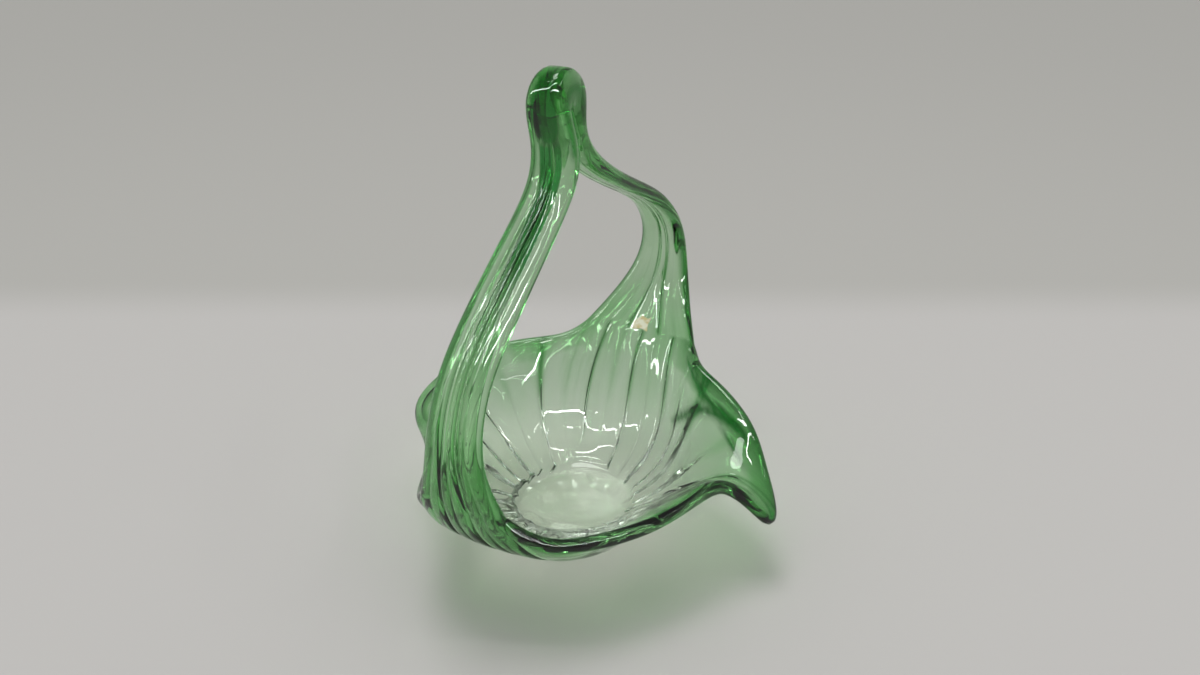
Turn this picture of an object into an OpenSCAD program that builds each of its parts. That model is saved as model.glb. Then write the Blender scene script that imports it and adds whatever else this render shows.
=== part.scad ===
// Hand-worked glass basket: a ribbed bowl whose two facing walls are drawn up into arms that
// meet in a knot, while the two walls between them are let out into drooping lips.
// Origin at the middle of the foot, on the table. +Z up, +X to the right lip, +Y to the rear arm.

/* [Bowl] */
// Radius of the rim between the lips and the arms
bowl_r = 100; // [88:1:112]
// Height of the lowest stretch of rim
rim_h = 57; // [50:1:66]
// How far a lip reaches past the rim
lip_reach = 30; // [16:1:36]
// How far the tip of a lip drops below the rim
lip_drop = 26; // [10:1:30]
// Thickness of the thin middle of the wall
wall_t = 6.4; // [5:0.1:8]
// Thickness of the fire-polished rim
rim_t = 8; // [6.5:0.1:9.5]

/* [Base] */
// Radius of the middle of the wall where it leaves the base
base_r = 40; // [36:1:46]
// Height of the middle of the wall where it leaves the base
base_z = 15; // [13:0.5:18]
// Thickness of the wall where it leaves the base
base_t = 16; // [13:0.5:17]
// Radius of the foot, which is ground flat and stands on the table
foot_r = 37; // [33:0.5:40]
// How far the floor inside stands off the middle of the foot, to the right
floor_right = 10; // [0:0.5:10]
// How far the floor inside stands off the middle of the foot, to the rear
floor_back = 7; // [0:0.5:7]

/* [Handle] */
// Height of the whole basket
total_h = 280; // [250:1:310]
// Width of the arms at their narrowest
arm_w = 25; // [20:0.5:30]
// Thickness of the arms
arm_t = 9; // [7:0.1:10.5]
// Thickness of each arm in the knot at the top
knot_t = 13; // [11:0.1:13.5]
// Depth of solid glass above the bend of the arms, in the crown of the knot
crown = 18; // [12:0.5:22]

/* [Ribs] */
// Number of ribs round the bowl
ribs = 26; // [22:2:30]
// Depth of the grooves between the ribs at the base
groove_d = 3; // [1:0.1:3.6]
// Depth of the grooves on the arms
arm_groove_d = 1.8; // [0.8:0.1:2.2]

/* [Label] */
// Length of the paper label along the rear arm
label_l = 15; // [8:0.5:16]
// Width of the paper label
label_w = 14; // [8:0.5:16]
// Thickness of the paper label
label_t = 0.3; // [0.2:0.05:0.5]
// Clearance between the label and the glass
label_gap = 0.4; // [0.3:0.05:0.6]

/* [Hidden] */

// Ribs that run into an arm on each side of its middle, and columns drawn for each rib
ARM_RIBS = 3;
PER_RIB = 4;
// Rows up the bowl wall, as shares of its length, close together at the rounded rim
ROWS = [0, .07, .15, .24, .34, .45, .56, .67, .77, .86, .93, .965, .985, 1];
// Rings along the handle
RINGS = 44;

// Handle stations from the front of the bowl over the knot to the rear:
// offset in x, reach in y as a share of bowl_r, height between rim and knot as a share,
// half width and half width of the inner ribs as shares of arm_w, bend of the section,
// share of the knot's thickness, and share of the crown on top of it
STRAP = [
    [0, -1.02, .076, 1.06,  .93, 15, 0, 0], [0, -1.07, .178,  .74,  .74, 30, 0, 0],
    [0, -1.06, .284,  .61,  .61, 42, 0, 0], [0,  -.98, .399,  .57,  .57, 46, 0, 0],
    [0,  -.82, .495,  .56,  .56, 46, 0, 0], [0,  -.58, .596,  .56,  .56, 44, 0, 0],
    [0,  -.34, .692,  .54,  .54, 42, 0, 0], [1,  -.12, .788,  .52,  .52, 38, .1, 0],
    [2,  -.07, .875,  .52,  .52, 30, .6, 0], [1,  -.08, .947,  .49,  .49, 20, 1, .1],
    [0,  -.04, 1.006, .39,  .39, 15, 1, 1], [0,   .03, 1.006, .35,  .35, 15, 1, 1],
    [0,   .08, .930,  .38,  .38, 18, 1, .1], [0,   .17, .862,  .36,  .36, 20, .5, 0],
    [0,   .37, .786,  .38,  .38, 22, .1, 0], [0,   .69, .706,  .40,  .40, 28, 0, 0],
    [0,  1.04, .632,  .45,  .45, 36, 0, 0], [1,  1.27, .519,  .53,  .53, 42, 0, 0],
    [1,  1.31, .409,  .62,  .62, 38, 0, 0], [1,  1.25, .313,  .84,  .80, 32, 0, 0],
    [1,  1.12, .226, 1.20, 1.08, 26, 0, 0], [1,  1.00, .159, 1.56, 1.36, 22, 0, 0]];

// Rim stations between the arms, anticlockwise seen from above:
// azimuth, radius past bowl_r, height over rim_h, share of the lip's reach and drop,
// rise of the wall at the rim, and turn of the wall away from the radial line
RIGHT = [
    [295,  7,  8,  0,  70,   0], [304,  4,  5,  0,  58,   0], [317,  1,  3,  0,  45,   0],
    [332, -1,  2,  0,  35,  -5], [346,  0,  5,  0,  10, -15], [360,  2, 10, .1, -20, -30],
    [363,  4,  5, .4, -50, -30], [365,  1,  0,  1, -65, -15], [372,  1,  5, .95, -60,  5],
    [380,  5, 14, .5, -20,  15], [390,  9, 18, .2,  10,  10], [402,  3, 25,  0,  40,   0],
    [413, -5, 30,  0,  55,   0], [421, -4, 33,  0,  55,   0]];
LEFT = [
    [120, -8, 29,  0,  55,   0], [134, -4, 26,  0,  50,   0], [148,  0, 24,  0,  40,   0],
    [161, -1, 20,  0,  10, -10], [173, -3, 18, .2, -30, -15], [184, -2, 9,  .4, -60,   0],
    [196, -4, -4,  0, -50,  25], [208, -14, 0,  0,   0,  15], [222, -18, 3, 0,  40,   5],
    [236, -14, 5,  0,  60,   0], [247, -4, 7,  0,  75,   0]];

// Wall thickness from the base up to the rim: shares of base_t, wall_t and rim_t
WALL = [[1, 0, 0], [.6, .45, 0], [.2, .9, 0], [0, 1.12, 0], [0, 1.03, 0], [0, 1, 0],
        [0, .8, .2], [0, 0, 1]];

// Groove depth up the wall, between lips and on the arms: shares of groove_d and arm_groove_d
GROOVE_ROWS = [0, .15, .4, .7, .9, 1];
SIDE_GROOVE = [[1, 0], [1, 0], [.7, 0], [.35, 0], [.07, 0], [0, 0]];
ARM_GROOVE = [[1, 0], [1, 0], [.5, .5], [.1, 1], [0, 1.05], [0, 1]];

half = ribs / 2;
columns = ribs * PER_RIB;
arm_cols = ARM_RIBS * PER_RIB;
last_row = len(ROWS) - 1;

function unit(v) = v / norm(v);
function ease(x) = let(q = max(0, min(1, x))) q * q * (3 - 2 * q);
function mod(a, n) = a - n * floor(a / n);

// Uniform cubic B-spline on the stations p; it starts and ends on the first and last one
function blend4(a, b, c, d, f) =
    (pow(1 - f, 3) * a + (3 * pow(f, 3) - 6 * f * f + 4) * b
     + (3 * f - 3 * pow(f, 3) + 3 * f * f + 1) * c + pow(f, 3) * d) / 6;
function spline(p, u) =
    let (n = len(p), i = max(0, min(n - 2, floor(u))), f = u - i)
    blend4(i == 0 ? 2 * p[0] - p[1] : p[i - 1], p[i], p[i + 1],
           i == n - 2 ? 2 * p[n - 1] - p[n - 2] : p[i + 2], f);

// Real sizes of the handle stations: x, y, z, half width, inner half width, bend, thickness
bend_h = total_h - crown;
strap_n = len(STRAP) - 1;
strap_sizes = [for (k = [0 : strap_n]) let (q = STRAP[k], end = k < 2 || k > strap_n - 2)
    [q[0], q[1] * bowl_r, rim_h + q[2] * (bend_h - rim_h), q[3] * arm_w, q[4] * arm_w, q[5],
     end ? rim_t : arm_t + q[6] * (knot_t - arm_t), q[7] * (crown - knot_t / 2)]];

// Middle surface of the handle, s along it from 0 to 1 and t across it from -1 to 1.
// The section is an arc that is hollow towards the inside of the basket.
function strap(s, t) =
    let (q = spline(strap_sizes, s * strap_n), e = 0.001,
         d = spline(strap_sizes, min(strap_n, s * strap_n + e))
             - spline(strap_sizes, max(0, s * strap_n - e)),
         run = unit([d[1], d[2]]),
         share = (t * q[4] + pow(t, 3) * (q[3] - q[4])) / q[3],
         bend_r = q[3] / sin(q[5]), deep = bend_r * (1 - cos(q[5] * share)))
    [q[0] + bend_r * sin(q[5] * share), q[1] + run[1] * deep, q[2] - run[0] * deep];
function strap_t(s) = spline(strap_sizes, s * strap_n)[6];
function strap_crown(s) = spline(strap_sizes, s * strap_n)[7];

// Rim of one side between the arms, u from 0 to 1
function polar(q) =
    let (r = bowl_r + q[1] + q[3] * lip_reach)
    [r * cos(q[0]), r * sin(q[0]), rim_h + q[2] - q[3] * lip_drop];
function side_rim(stations, from, before, to, after, u) =
    let (p = concat([before, from], [for (q = stations) polar(q)], [to, after]),
         n = len(p) - 2, w = u * (n - 1), i = min(n - 2, floor(w)), f = w - i,
         first = (2 * p[1] - p[0] - p[2]) / 6, last = (2 * p[n] - p[n - 1] - p[n + 1]) / 6)
    blend4(p[i], p[i + 1], p[i + 2], p[i + 3], f)
    + ease(1 - w) * first + ease(w - n + 2) * last;
function side_lean(stations, u) =
    let (n = len(stations),
         q = concat([stations[0]], stations, [stations[n - 1]]))
    spline([for (a = q) [a[4], a[5]]], u * (n + 1));

// Direction in which the wall runs into an arm, at the front or at the rear
function arm_way(front, t) =
    let (d = front ? strap(.01, t) - strap(0, t) : strap(.99, t) - strap(1, t), q = unit(d))
    unit([q[0] / 4, q[1], q[2]]);

// End of the wall in column i: [point, direction]
near = .04;
side_blend = .22;
function wall_end(i) =
    let (c = i / PER_RIB, f = c > half ? c - ribs : c, b = c - half)
    abs(f) <= ARM_RIBS ? [strap(0, f / ARM_RIBS), arm_way(true, f / ARM_RIBS)]
    : abs(b) <= ARM_RIBS ? [strap(1, -b / ARM_RIBS), arm_way(false, -b / ARM_RIBS)]
    : let (right = c < half, t = right ? 1 : -1,
           u = ((right ? c : c - half) - ARM_RIBS) / (half - 2 * ARM_RIBS),
           a = right ? 0 : 1, z = 1 - a, stations = right ? RIGHT : LEFT,
           p = side_rim(stations, strap(a, t), strap(right ? near : 1 - near, t),
                        strap(z, t), strap(right ? 1 - near : near, t), u),
           lean = side_lean(stations, u), az = atan2(p[1], p[0]) + lean[1],
           own = [cos(az) * cos(lean[0]), sin(az) * cos(lean[0]), sin(lean[0])],
           w0 = ease(1 - u / side_blend), w1 = ease(1 - (1 - u) / side_blend))
      [p, unit((1 - w0 - w1) * own + w0 * arm_way(right, t) + w1 * arm_way(!right, t))];

// Wall of the bowl: in each column a Bezier curve from the base ring to the wall's end
WALL_SHIFT = .65;
belly_rise = 33;
belly_drop = 1;
reach = .42;
belly_more = .03;
function wall_curve(i) =
    let (az = 270 + 360 * i / columns, e = wall_end(i),
         p0 = [WALL_SHIFT * floor_right + base_r * cos(az),
               WALL_SHIFT * floor_back + base_r * sin(az), base_z],
         front = ease((cos(az - 257) - .3) / .7), rise = belly_rise - belly_drop * front,
         l = norm(e[0] - p0))
    [p0, p0 + reach * l * [cos(az) * cos(rise), sin(az) * cos(rise), sin(rise)],
     e[0] - (reach + belly_more * front) * l * e[1], e[0]];
curves = [for (i = [0 : columns - 1]) wall_curve(i)];
function bezier(p, v) = pow(1 - v, 3) * p[0] + 3 * v * pow(1 - v, 2) * p[1]
    + 3 * v * v * (1 - v) * p[2] + pow(v, 3) * p[3];

// The wall is evened out round the bowl between its base and its rim, as soft glass flows
EVEN = [1, 6, 15, 20, 15, 6, 1] / 64;
plain = [for (i = [0 : columns - 1]) [for (v = ROWS) bezier(curves[i], v)]];
function even(i, j, k = 0) = k == 7 ? [0, 0, 0]
    : EVEN[k] * plain[mod(i + (k - 3) * PER_RIB / 2, columns)][j] + even(i, j, k + 1);
wall = [for (i = [0 : columns - 1]) [for (j = [0 : last_row])
    let (w = min(1, 5.2 * ROWS[j] * (1 - ROWS[j]))) (1 - w) * plain[i][j] + w * even(i, j)]];
handle = [for (k = [0 : RINGS]) [for (m = [-arm_cols : arm_cols]) strap(k / RINGS, m / arm_cols)]];

// Columns of the bowl that run into ring 0 and ring RINGS of the handle
function front_col(m) = mod(m, columns);
function rear_col(m) = mod(columns / 2 - m, columns);
function is_front(i) = i <= arm_cols || i >= columns - arm_cols;
function is_rear(i) = abs(i - columns / 2) <= arm_cols;
function in_front(i) = i < arm_cols || i > columns - arm_cols;
function in_rear(i) = abs(i - columns / 2) < arm_cols;
function front_m(i) = i > columns / 2 ? i - columns : i;
function rear_m(i) = columns / 2 - i;

// Unit normals, pointing to the inside of the basket
function beyond(i) = in_front(i) ? handle[1][front_m(i) + arm_cols]
    : in_rear(i) ? handle[RINGS - 1][rear_m(i) + arm_cols] : wall[i][last_row];
function wall_normal(i, j) =
    let (up = (j == last_row ? beyond(i) : wall[i][j + 1]) - wall[i][max(0, j - 1)],
         across = wall[mod(i + 1, columns)][j] - wall[mod(i - 1, columns)][j])
    unit(cross(up, across));
function handle_normal(k, m) =
    let (a = m + arm_cols,
         ahead = k == RINGS ? wall[rear_col(m)][last_row - 1] : handle[k + 1][a],
         back = k == 0 ? wall[front_col(m)][last_row - 1] : handle[k - 1][a])
    unit(cross(ahead - back,
               handle[k][min(2 * arm_cols, a + 1)] - handle[k][max(0, a - 1)]));

// The two closed edges, right and left: rim of the bowl, then the edge of the handle
right_edge = concat([for (i = [arm_cols : columns / 2 - arm_cols]) wall[i][last_row]],
                    [for (k = [RINGS - 1 : -1 : 0]) handle[k][2 * arm_cols]]);
left_edge = concat([for (i = [columns / 2 + arm_cols : columns - arm_cols]) wall[i][last_row]],
                   [for (k = [1 : RINGS]) handle[k][0]]);
function to_piece(p, a, b) =
    let (d = b - a, t = max(0, min(1, (p - a) * d / (d * d + 1e-9)))) norm(p - a - t * d);
function to_edges(p) = min(
    min([for (k = [1 : len(right_edge) - 1]) to_piece(p, right_edge[k - 1], right_edge[k])]),
    min([for (k = [1 : len(left_edge) - 1]) to_piece(p, left_edge[k - 1], left_edge[k])]));

// Half thickness at a distance d from the edge: the edge is a half circle
function rounded(t, d) = let (r = t / 2, q = max(0, 1 - d / r)) r * sqrt(max(0, 1 - q * q));

// Rib profile across column position c: 1 on a rib, 0 in a groove, every second groove deeper
soft = .12;
function groove_wave(w) = (sqrt(w * w + soft * soft) - soft) / (sqrt(1 + soft * soft) - soft);
function rib(c, pair) = (1 - pair) * groove_wave(sin(180 * c)) + pair * groove_wave(cos(90 * c));
function table(list, v) = let (k = max([for (a = [0 : len(list) - 2]) GROOVE_ROWS[a] <= v ? a : 0]),
    f = (v - GROOVE_ROWS[k]) / (GROOVE_ROWS[k + 1] - GROOVE_ROWS[k]))
    ((1 - f) * list[k] + f * list[k + 1]) * [groove_d, arm_groove_d];
function wall_groove(i, v, d) =
    let (c = i / PER_RIB, off = min(abs(mod(c + half, ribs) - half), abs(c - half)),
         arm = 1 - ease((off - 2.5) / 1.5))
    (arm * table(ARM_GROOVE, v) + (1 - arm) * table(SIDE_GROOVE, v))
    * (1 - rib(c, .5)) * min(1, d / 8);
function handle_groove(s, t, d) =
    arm_groove_d * (1 - rib(t * ARM_RIBS, .5)) * min(1, d / 5)
    * (1 - .7 * exp(-pow((s - .45) / .06, 2)));

// Points of the two faces: [inside, outside, whether both are one point on the rim]
near_rim = 9;
function wall_pair(i, j) =
    let (p = wall[i][j], v = ROWS[j], edge = j == last_row && !in_front(i) && !in_rear(i),
         n = wall_normal(i, j), d = j < near_rim ? 99 : to_edges(p),
         t = spline(WALL, v * (len(WALL) - 1)) * [base_t, wall_t, rim_t],
         h = edge ? 0 : rounded(t, d))
    edge ? [p, p, true] : [p + h * n, p - (h - min(.8 * h, wall_groove(i, v, d))) * n, false];
function handle_pair(k, m) =
    let (p = handle[k][m + arm_cols], s = k / RINGS, d = to_edges(p), t = strap_t(s),
         h = rounded(t, d), out = h * (1 + 2 * strap_crown(s) / t), n = handle_normal(k, m))
    abs(m) == arm_cols ? [p, p, true]
    : [p + h * n, p - (out - min(.8 * h, handle_groove(s, m / arm_cols, d))) * n, false];

// Rings of the floor inside and of the foot outside: radius, height, share of the floor's shift,
// and how far the ribs stand out
FLOOR = [[base_r - 9, 3.6, .9, 0], [base_r - 14, 3, 1, 0], [base_r / 3, 2.6, 1, 0]];
FOOT = [[foot_r + 4, 3.6, .35, 1.6], [foot_r + 1, .8, .1, 1.5], [foot_r - 1, 0, 0, 1.2],
        [foot_r * .6, 0, 0, 0]];
function ring(q, z0) = [for (i = [0 : columns - 1])
    let (az = 270 + 360 * i / columns, r = q[0] + q[3] * rib(i / PER_RIB, .7))
    [q[2] * floor_right + r * cos(az), q[2] * floor_back + r * sin(az), z0 + q[1]]];

inner_wall = [for (j = [0 : last_row]) [for (i = [0 : columns - 1]) wall_pair(i, j)]];
inner_handle = [for (k = [1 : RINGS - 1]) [for (m = [-arm_cols : arm_cols]) handle_pair(k, m)]];

// Numbering of the points: inside wall, outside wall, inside handle, outside handle, then rings
wide = 2 * arm_cols + 1;
wall_points = columns * (last_row + 1);
handle_points = wide * (RINGS - 1);
function wi(i, j) = j * columns + mod(i, columns);
function wo(i, j) =
    let (q = mod(i, columns))
    j == last_row && !in_front(q) && !in_rear(q) ? wi(q, j) : wall_points + j * columns + q;
function hi(k, m) = k == 0 ? wi(front_col(m), last_row) : k == RINGS ? wi(rear_col(m), last_row)
    : 2 * wall_points + (k - 1) * wide + m + arm_cols;
function ho(k, m) = k == 0 ? wo(front_col(m), last_row) : k == RINGS ? wo(rear_col(m), last_row)
    : abs(m) == arm_cols ? hi(k, m)
    : 2 * wall_points + handle_points + (k - 1) * wide + m + arm_cols;
function ri(n, i) = 2 * (wall_points + handle_points) + n * columns + mod(i, columns);
rings = len(FLOOR) + len(FOOT);
floor_mid = 2 * (wall_points + handle_points) + rings * columns;
foot_mid = floor_mid + 1;

basket_points = concat(
    [for (row = inner_wall) for (p = row) p[0]], [for (row = inner_wall) for (p = row) p[1]],
    [for (row = inner_handle) for (p = row) p[0]], [for (row = inner_handle) for (p = row) p[1]],
    [for (q = FLOOR) for (p = ring(q, base_z)) p], [for (q = FOOT) for (p = ring(q, 0)) p],
    [[floor_right, floor_back, base_z + 2.5], [0, 0, 0]]);

// Two triangles for each four-cornered face, corners clockwise seen from outside the glass
function patch(a, b, c, d) = [[a, c, b], [a, d, c]];
basket_faces = concat(
    [for (i = [0 : columns - 1]) for (j = [0 : last_row - 1]) for (f = concat(
        patch(wi(i, j), wi(i, j + 1), wi(i + 1, j + 1), wi(i + 1, j)),
        patch(wo(i, j), wo(i + 1, j), wo(i + 1, j + 1), wo(i, j + 1)))) f],
    [for (k = [0 : RINGS - 1]) for (m = [-arm_cols : arm_cols - 1]) for (f = concat(
        patch(hi(k, m), hi(k + 1, m), hi(k + 1, m + 1), hi(k, m + 1)),
        patch(ho(k, m), ho(k, m + 1), ho(k + 1, m + 1), ho(k + 1, m)))) f],
    [for (n = [0 : len(FLOOR) - 1]) for (i = [0 : columns - 1]) for (f = n == 0
        ? patch(ri(0, i), wi(i, 0), wi(i + 1, 0), ri(0, i + 1))
        : patch(ri(n, i), ri(n - 1, i), ri(n - 1, i + 1), ri(n, i + 1))) f],
    [for (i = [0 : columns - 1]) [floor_mid, ri(len(FLOOR) - 1, i + 1), ri(len(FLOOR) - 1, i)]],
    [for (n = [len(FLOOR) : rings - 1]) for (i = [0 : columns - 1]) for (f = n == len(FLOOR)
        ? patch(wo(i, 0), ri(n, i), ri(n, i + 1), wo(i + 1, 0))
        : patch(ri(n - 1, i), ri(n, i), ri(n, i + 1), ri(n - 1, i + 1))) f],
    [for (i = [0 : columns - 1]) [foot_mid, ri(rings - 1, i), ri(rings - 1, i + 1)]]);

// The whole glass, one piece
module basket() {
    color("mediumseagreen") polyhedron(points = basket_points, faces = basket_faces, convexity = 8);
}

// Torn paper label on the inside of the rear arm: corners as shares of its length and width
LABEL = [[-.5, -.12], [-.36, .3], [-.5, .5], [0, .42], [.5, .5], [.4, .1], [.5, -.42], [.05, -.5]];
label_s = .986;
label_x = -2;
function label_spot(q, lift) =
    let (s = label_s + q[0] * label_l / 560, half_w = spline(strap_sizes, s * strap_n)[3],
         t = (label_x + q[1] * label_w) / half_w, e = .004,
         n = unit(cross(strap(s + e, t) - strap(s - e, t), strap(s, t + e) - strap(s, t - e))))
    strap(s, t) + (strap_t(s) / 2 + lift) * n;
module label() {
    n = len(LABEL);
    low = [for (q = concat(LABEL, [[0, 0]])) label_spot(q, label_gap)];
    high = [for (q = concat(LABEL, [[0, 0]])) label_spot(q, label_gap + label_t)];
    color("wheat") polyhedron(points = concat(low, high), faces = concat(
        [for (i = [0 : n - 1]) [n, (i + 1) % n, i]],
        [for (i = [0 : n - 1]) [2 * n + 1, n + 1 + i, n + 1 + (i + 1) % n]],
        [for (i = [0 : n - 1]) for (f = patch(i, n + 1 + i, n + 1 + (i + 1) % n, (i + 1) % n)) f]));
}

basket();
label();
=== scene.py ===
# %% [markdown]
# A hand-worked glass basket. The real piece was gathered, pressed into a ribbed mould, opened into
# a bowl and then drawn out with tools while hot: two facing walls were pulled up into arms and
# pinched together in a knot, and the two walls between them were let out into drooping lips.
# It is one piece of glass, so here it is one closed mesh with one glass material.

import bpy
import mathutils
import numpy as np
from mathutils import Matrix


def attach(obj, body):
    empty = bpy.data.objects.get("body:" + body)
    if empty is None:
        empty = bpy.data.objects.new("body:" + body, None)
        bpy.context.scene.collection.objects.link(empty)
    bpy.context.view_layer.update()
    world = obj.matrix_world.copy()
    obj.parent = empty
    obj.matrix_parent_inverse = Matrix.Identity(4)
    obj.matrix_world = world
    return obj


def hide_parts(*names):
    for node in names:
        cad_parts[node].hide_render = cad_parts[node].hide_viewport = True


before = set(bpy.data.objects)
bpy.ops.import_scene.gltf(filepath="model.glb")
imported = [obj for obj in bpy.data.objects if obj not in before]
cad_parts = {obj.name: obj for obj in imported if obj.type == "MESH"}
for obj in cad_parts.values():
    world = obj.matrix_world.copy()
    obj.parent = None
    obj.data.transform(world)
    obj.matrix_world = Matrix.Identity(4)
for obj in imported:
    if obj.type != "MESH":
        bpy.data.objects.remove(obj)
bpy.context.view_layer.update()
MM = 0.001

# %% [markdown]
# ## Driving sizes
# The glass has to lie on the CAD solid, so these are the same sizes and stations, in
# millimetres. Only the number of columns and rows is higher, because refraction shows every facet
# that plain shading would hide.

# %% Driving sizes of the glass, in millimetres
BOWL_R = 100
RIM_H = 57
LIP_REACH = 30
LIP_DROP = 26
WALL_T = 6.4
RIM_T = 8
BASE_R = 40
BASE_Z = 15
BASE_T = 16
FOOT_R = 37
FLOOR_RIGHT = 10
FLOOR_BACK = 7
TOTAL_H = 280
ARM_W = 25
ARM_T = 9
KNOT_T = 13
CROWN = 18
RIBS = 26
GROOVE_D = 3
ARM_GROOVE_D = 1.8
LABEL_L = 15
LABEL_W = 14
LABEL_T = 0.3
LABEL_GAP = 0.4

ARM_RIBS = 3
PER_RIB = 12
RINGS = 176
COLUMNS = RIBS * PER_RIB
ARM_COLS = ARM_RIBS * PER_RIB
HALF = RIBS / 2
print("columns round the bowl:", COLUMNS, "rings along the handle:", RINGS)

# %% Stations of the handle
# Offset in x, reach in y as a share of BOWL_R, height between rim and knot as a share, half width
# and half width of the inner ribs as shares of ARM_W, bend, share of the knot, share of the crown.
STRAP = np.array([
    [0, -1.02, .076, 1.06,  .93, 15, 0, 0], [0, -1.07, .178,  .74,  .74, 30, 0, 0],
    [0, -1.06, .284,  .61,  .61, 42, 0, 0], [0,  -.98, .399,  .57,  .57, 46, 0, 0],
    [0,  -.82, .495,  .56,  .56, 46, 0, 0], [0,  -.58, .596,  .56,  .56, 44, 0, 0],
    [0,  -.34, .692,  .54,  .54, 42, 0, 0], [1,  -.12, .788,  .52,  .52, 38, .1, 0],
    [2,  -.07, .875,  .52,  .52, 30, .6, 0], [1,  -.08, .947,  .49,  .49, 20, 1, .1],
    [0,  -.04, 1.006, .39,  .39, 15, 1, 1], [0,   .03, 1.006, .35,  .35, 15, 1, 1],
    [0,   .08, .930,  .38,  .38, 18, 1, .1], [0,   .17, .862,  .36,  .36, 20, .5, 0],
    [0,   .37, .786,  .38,  .38, 22, .1, 0], [0,   .69, .706,  .40,  .40, 28, 0, 0],
    [0,  1.04, .632,  .45,  .45, 36, 0, 0], [1,  1.27, .519,  .53,  .53, 42, 0, 0],
    [1,  1.31, .409,  .62,  .62, 38, 0, 0], [1,  1.25, .313,  .84,  .80, 32, 0, 0],
    [1,  1.12, .226, 1.20, 1.08, 26, 0, 0], [1,  1.00, .159, 1.56, 1.36, 22, 0, 0]])

# %% Stations of the rim between the arms
# Azimuth, radius past BOWL_R, height over RIM_H, share of the lip, rise of the wall at the rim and
# its turn away from the radial line.
RIGHT = np.array([
    [295,  7,  8,  0,  70,   0], [304,  4,  5,  0,  58,   0], [317,  1,  3,  0,  45,   0],
    [332, -1,  2,  0,  35,  -5], [346,  0,  5,  0,  10, -15], [360,  2, 10, .1, -20, -30],
    [363,  4,  5, .4, -50, -30], [365,  1,  0,  1, -65, -15], [372,  1,  5, .95, -60,  5],
    [380,  5, 14, .5, -20,  15], [390,  9, 18, .2,  10,  10], [402,  3, 25,  0,  40,   0],
    [413, -5, 30,  0,  55,   0], [421, -4, 33,  0,  55,   0]])
LEFT = np.array([
    [120, -8, 29,  0,  55,   0], [134, -4, 26,  0,  50,   0], [148,  0, 24,  0,  40,   0],
    [161, -1, 20,  0,  10, -10], [173, -3, 18, .2, -30, -15], [184, -2, 9,  .4, -60,   0],
    [196, -4, -4,  0, -50,  25], [208, -14, 0,  0,   0,  15], [222, -18, 3, 0,  40,   5],
    [236, -14, 5,  0,  60,   0], [247, -4, 7,  0,  75,   0]])

# %% [markdown]
# ## Curves of soft glass
# Soft glass flows in even curves, so every line here is a uniform cubic B-spline: it passes near its
# stations and never kinks. The functions below take whole arrays, so the 312 columns of the bowl are
# worked out at once.


# %% Curves
def unit(v):
    """Each vector divided by its own length."""
    return v / np.linalg.norm(v, axis=-1, keepdims=True)


def ease(x):
    """The smooth step 3x squared less 2x cubed, held at 0 below 0 and at 1 above 1."""
    q = np.clip(x, 0, 1)
    return q * q * (3 - 2 * q)


def blend4(a, b, c, d, f):
    """The uniform cubic B-spline's blend of four neighbouring stations at the share f of one span."""
    return ((1 - f) ** 3 * a + (3 * f ** 3 - 6 * f * f + 4) * b
            + (3 * f - 3 * f ** 3 + 3 * f * f + 1) * c + f ** 3 * d) / 6


def spline(stations, u):
    """The B-spline through an array of stations at u spans from the first, which it starts on."""
    p = np.vstack([2 * stations[0] - stations[1], stations, 2 * stations[-1] - stations[-2]])
    i = np.clip(np.floor(u), 0, len(stations) - 2).astype(int)
    f = (u - i)[..., None]
    return blend4(p[i], p[i + 1], p[i + 2], p[i + 3], f)


# %% Middle surface of the handle
END = np.isin(np.arange(len(STRAP)), [0, 1, len(STRAP) - 2, len(STRAP) - 1])
STRAP_MM = np.column_stack([
    STRAP[:, 0], STRAP[:, 1] * BOWL_R, RIM_H + STRAP[:, 2] * (TOTAL_H - CROWN - RIM_H),
    STRAP[:, 3] * ARM_W, STRAP[:, 4] * ARM_W, STRAP[:, 5],
    np.where(END, RIM_T, ARM_T + STRAP[:, 6] * (KNOT_T - ARM_T)), STRAP[:, 7] * (CROWN - KNOT_T / 2)])
SPANS = len(STRAP) - 1


def strap(s, t):
    """Handle at s along it (0 to 1) and t across it (-1 to 1): an arc of the station's half width
    and bend, laid square to the handle's run and hollow towards the inside of the basket."""
    s, t = np.broadcast_arrays(np.asarray(s, float), np.asarray(t, float))
    x, y, z, half, inner, bend = np.moveaxis(spline(STRAP_MM, s * SPANS), -1, 0)[:6]
    step = 0.001
    run = unit((spline(STRAP_MM, np.minimum(SPANS, s * SPANS + step))
                - spline(STRAP_MM, np.maximum(0, s * SPANS - step)))[..., 1:3])
    share = (t * inner + t ** 3 * (half - inner)) / half
    radius = half / np.sin(np.radians(bend))
    turn = np.radians(bend) * share
    deep = radius * (1 - np.cos(turn))
    return np.stack([x + radius * np.sin(turn), y + run[..., 1] * deep, z - run[..., 0] * deep], -1)


print("knot at", strap(0.5, 0.0).round(1).tolist())

# %% [markdown]
# ## The bowl's middle surface
# Each column of the wall is one Bezier curve from the base ring to its end on the rim or on an arm.
# A wall that turns into an arm and a wall that turns into a lip then differ only in where the curve
# ends and in which direction.


# %% Rim and wall ends
def polar(q):
    """Rim stations as points: azimuth, radius and height, with the lip's reach and drop added."""
    r = BOWL_R + q[:, 1] + q[:, 3] * LIP_REACH
    a = np.radians(q[:, 0])
    return np.column_stack([r * np.cos(a), r * np.sin(a), RIM_H + q[:, 2] - q[:, 3] * LIP_DROP])


# The rim leaves an arm in line with the arm's edge between its end and NEAR along it. Over the share
# SIDE_BLEND of a side, the wall's direction turns from the arm's to its own.
NEAR = .04
SIDE_BLEND = .22


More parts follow.
